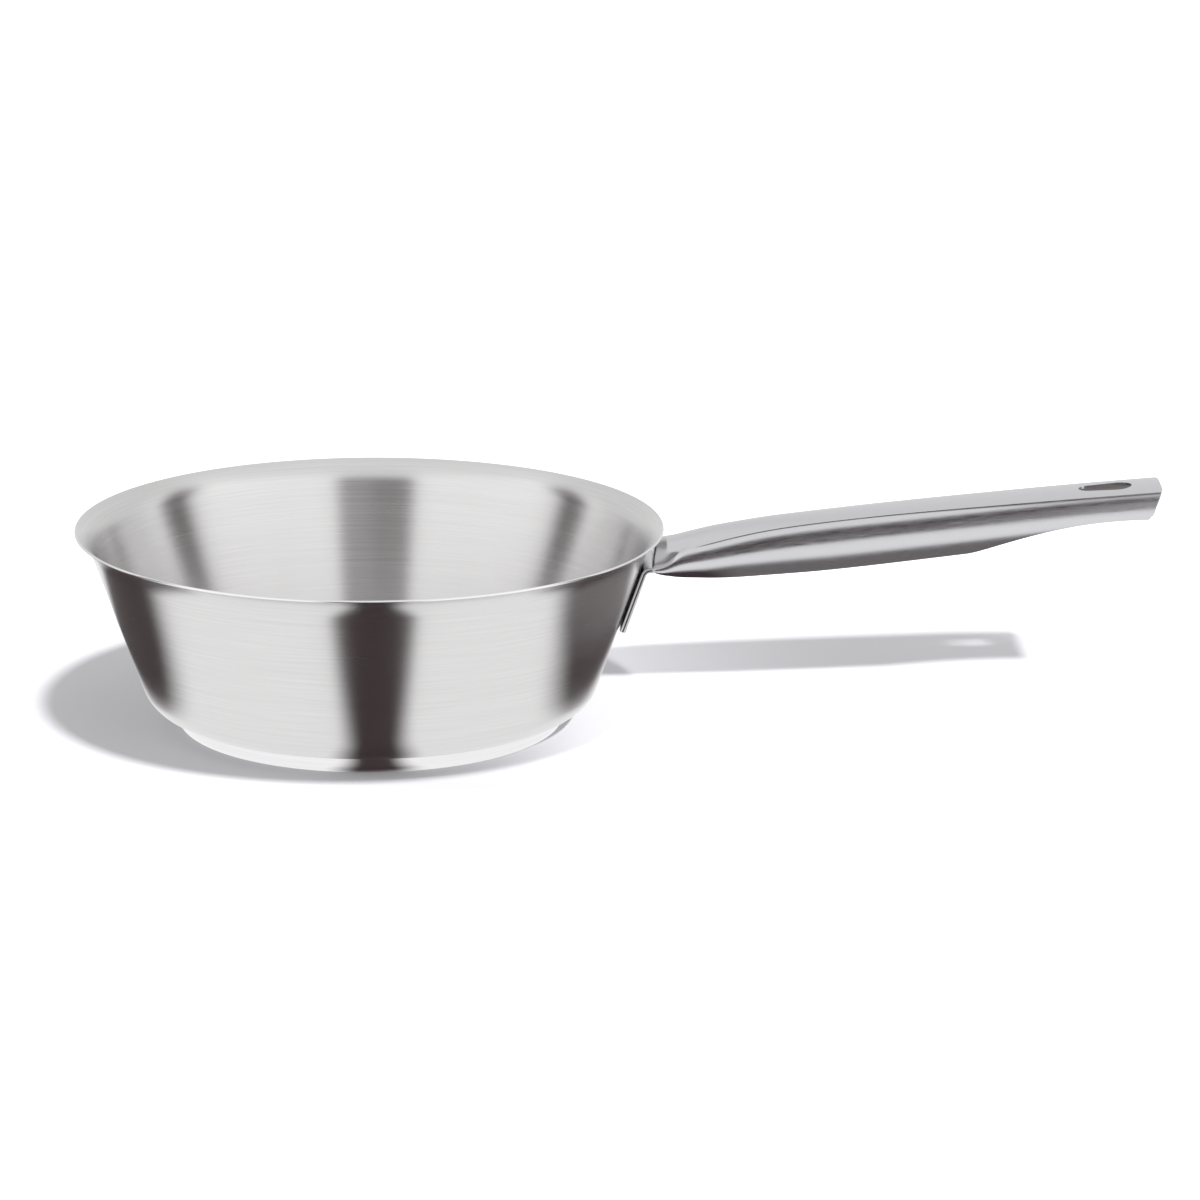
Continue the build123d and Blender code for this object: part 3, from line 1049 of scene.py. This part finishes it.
def floor_material():
    """White laminate table, matt.

    The camera sees it lifted to white away from the pan, so that only the lamps' shadows show. The
    metal sees it as a white glow, with painted dark reflections in front of the bowl and along both
    its sides that stand in for shade. It is clear from below, so that the pan's underside can be
    looked at.
    """
    s = bpy.context.scene.pan_stage
    material, add = new_material("white_table_painted_reflections")
    geometry = add("NewGeometry").outputs
    x, y, _ = add("SeparateXYZ", (geometry["Position"],)).outputs
    # Painted dark reflections: a wedge in front of the bowl and patches along its sides, seen by glossy
    # rays only
    wider = add("Math", (y, wedge_widening, wedge_start), operation="MULTIPLY_ADD")
    half_width = add("Math", (wider, wedge_least), operation="MAXIMUM")
    leaning = add("Math", (y, wedge_lean, x), operation="MULTIPLY_ADD")
    off_middle = add("Math", (leaning,), operation="ABSOLUTE")
    within = add("Math", (half_width, off_middle), operation="SUBTRACT")
    sides = add("MapRange", (within, *wedge_sides), **soft)
    end = add("MapRange", (y, *wedge_end), **soft)
    wedge = add("Math", (sides, end), operation="MULTIPLY")
    far = add("MapRange", (x, *far_edge), **soft)
    moved = add("Math", (far, far_shift, y), operation="MULTIPLY_ADD")
    front = add("MapRange", (moved, *side_reflection_front), **soft)
    beside = add("Math", (x,), operation="ABSOLUTE")
    rising = add("Math", (beside, back_slope, back_start), operation="MULTIPLY_ADD")
    behind = add("Math", (rising, back_limit), operation="MINIMUM")
    before = add("Math", (behind, y), operation="SUBTRACT")
    back = add("MapRange", (before, *side_reflection_back), **soft)
    paler = add("Math", (far, -far_share, 1.0), operation="MULTIPLY_ADD")
    side_painted_reflection = add("Math", (front, back), operation="MULTIPLY")
    side_painted_reflection = add("Math", (side_painted_reflection, paler), operation="MULTIPLY")
    painted_reflections = add("Math", (wedge, side_painted_reflection), operation="MAXIMUM")
    scale = [1 / reach for reach in shade_reach] + [0]
    shift = [-middle / reach for middle, reach in zip(shade_middle, shade_reach)] + [0]
    off = add("VectorMath", (geometry["Position"], scale, shift), operation="MULTIPLY_ADD")
    reached = add("VectorMath", (off,), operation="LENGTH").outputs["Value"]
    away = add("MapRange", (reached, *shade_edge), **soft)
    lift = add("MapRange", {"Value": away, "To Min": s.lift, "To Max": 1.0})
    matt = add("BsdfDiffuse", {"Color": (*s.floor, 1)})
    added = add("Emission", {"Color": white, "Strength": lift})
    lifted = add("AddShader", (matt, added))
    bright = add("Emission", {"Color": white, "Strength": s.table})
    painted_dark = add("Emission", {"Color": (*s.dark, 1), "Strength": 1.0})
    mirrored_with_painted_reflections = add("MixShader", (painted_reflections, bright, painted_dark))
    path = add("LightPath").outputs
    clear = add("BsdfTransparent")
    mix = add("MixShader", (path["Is Camera Ray"], matt, lifted))
    mix = add("MixShader", (path["Is Glossy Ray"], mix, mirrored_with_painted_reflections))
    mix = add("MixShader", (geometry["Backfacing"], mix, clear))
    add("OutputMaterial", {"Surface": mix})
    material.cycles.emission_sampling = "NONE"
    return material


def stage_sheet(name, corners, material):
    """Flat sheet of the stage from four corners."""
    mesh = bpy.data.meshes.new(name)
    mesh.from_pydata(corners, [], [(0, 1, 2, 3)])
    mesh.materials.append(material)
    sheet = bpy.data.objects.new(name, mesh)
    bpy.context.scene.collection.objects.link(sheet)


# Lamps of the table: the way to the lamp, the point that it aims at, the reach of its disc of light
# and its own radius, in metres, and its power in watts
lamps = {
    "right_lamp": ((0.42, -1.19, 1), (0.30, 0.04, 0), 0.29, 0.04, 300.0),
    "left_lamp": ((0.23, -0.42, 1), (-0.14, 0.02, 0), 0.30, 0.09, 175.0),
}
lamp_distance = 1.8
# The table's half width and its drop below the pan's foot, in metres
table_reach, table_drop = 3.0, 0.05 * MM
# The camera's place in metres, its tilt and roll in degrees, and its lens and sensor in millimetres
camera_place, camera_tilt, camera_roll = (0.0939, -1.9749, 0.5785), 14.96, 0.305
camera_lens, camera_sensor = 150, 36


def spot_lamp(name, direction, target, reach, radius, power):
    """Soft round lamp that lights a disc of the given reach round its target.

    Its light falls on the table only: the metal mirrors the room's panels instead.
    """
    data = bpy.data.lights.new(name, "SPOT")
    data.shadow_soft_size = radius
    data.energy = power
    data.spot_size = 2 * math.atan(reach / lamp_distance)
    data.spot_blend = 0.5
    lamp = bpy.data.objects.new(name, data)
    bpy.context.scene.collection.objects.link(lamp)
    towards = Vector(direction).normalized()
    lamp.location = Vector(target) + towards * lamp_distance
    lamp.rotation_euler = towards.to_track_quat("Z", "Y").to_euler()
    lamp.visible_glossy = False


class PAN_OT_stage(bpy.types.Operator):
    """Add the floor, the studio room, the lamps and the camera"""

    bl_idname = "pan.stage"
    bl_label = "Stage"

    def execute(self, context):
        ways = ((-1, -1), (1, -1), (1, 1), (-1, 1))
        corners = [(a * table_reach, b * table_reach, -table_drop) for a, b in ways]
        stage_sheet("table", corners, floor_material())
        studio_world()
        for name, values in lamps.items():
            spot_lamp(name, *values)
        data = bpy.data.cameras.new("camera")
        camera = bpy.data.objects.new("camera", data)
        context.scene.collection.objects.link(camera)
        context.scene.camera = camera
        data.lens, data.sensor_width = camera_lens, camera_sensor
        data.clip_end = 20
        tilt, roll = math.radians(camera_tilt), math.radians(camera_roll)
        aim = Matrix.Rotation(math.pi / 2 - tilt, 4, "X") @ Matrix.Rotation(roll, 4, "Z")
        camera.matrix_world = Matrix.Translation(camera_place) @ aim
        context.scene.view_settings.view_transform = "Standard"
        return {"FINISHED"}


class PAN_PT_sidebar(bpy.types.Panel):
    """Buttons for each piece of the pan"""

    bl_label = "Saucier pan"
    bl_idname = "PAN_PT_sidebar"
    bl_space_type = "VIEW_3D"
    bl_region_type = "UI"
    bl_category = "Pan"

    def draw(self, context):
        for operator in operators:
            self.layout.operator(operator.bl_idname)


groups = {
    "pan_bowl": BowlSettings,
    "pan_base": BaseSettings,
    "pan_handle": HandleSettings,
    "pan_weld": WeldSettings,
    "pan_steel": SteelSettings,
    "pan_stage": StageSettings,
}
operators = (PAN_OT_bowl, PAN_OT_base, PAN_OT_handle, PAN_OT_welds, PAN_OT_stage)


def register():
    """Register the classes and hang the settings on the scene."""
    for group in groups.values():
        bpy.utils.register_class(group)
    for made in (*operators, PAN_PT_sidebar):
        bpy.utils.register_class(made)
    for name, group in groups.items():
        setattr(bpy.types.Scene, name, PointerProperty(type=group))


def unregister():
    """Undo what register did."""
    for name in groups:
        delattr(bpy.types.Scene, name)
    for made in (PAN_PT_sidebar, *reversed(operators)):
        bpy.utils.unregister_class(made)
    for group in reversed(groups.values()):
        bpy.utils.unregister_class(group)


def main():
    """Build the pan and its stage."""
    register()
    bpy.ops.pan.bowl()
    bpy.ops.pan.base()
    bpy.ops.pan.handle()
    bpy.ops.pan.welds()
    bpy.ops.pan.stage()


if __name__ == "__main__":
    main()
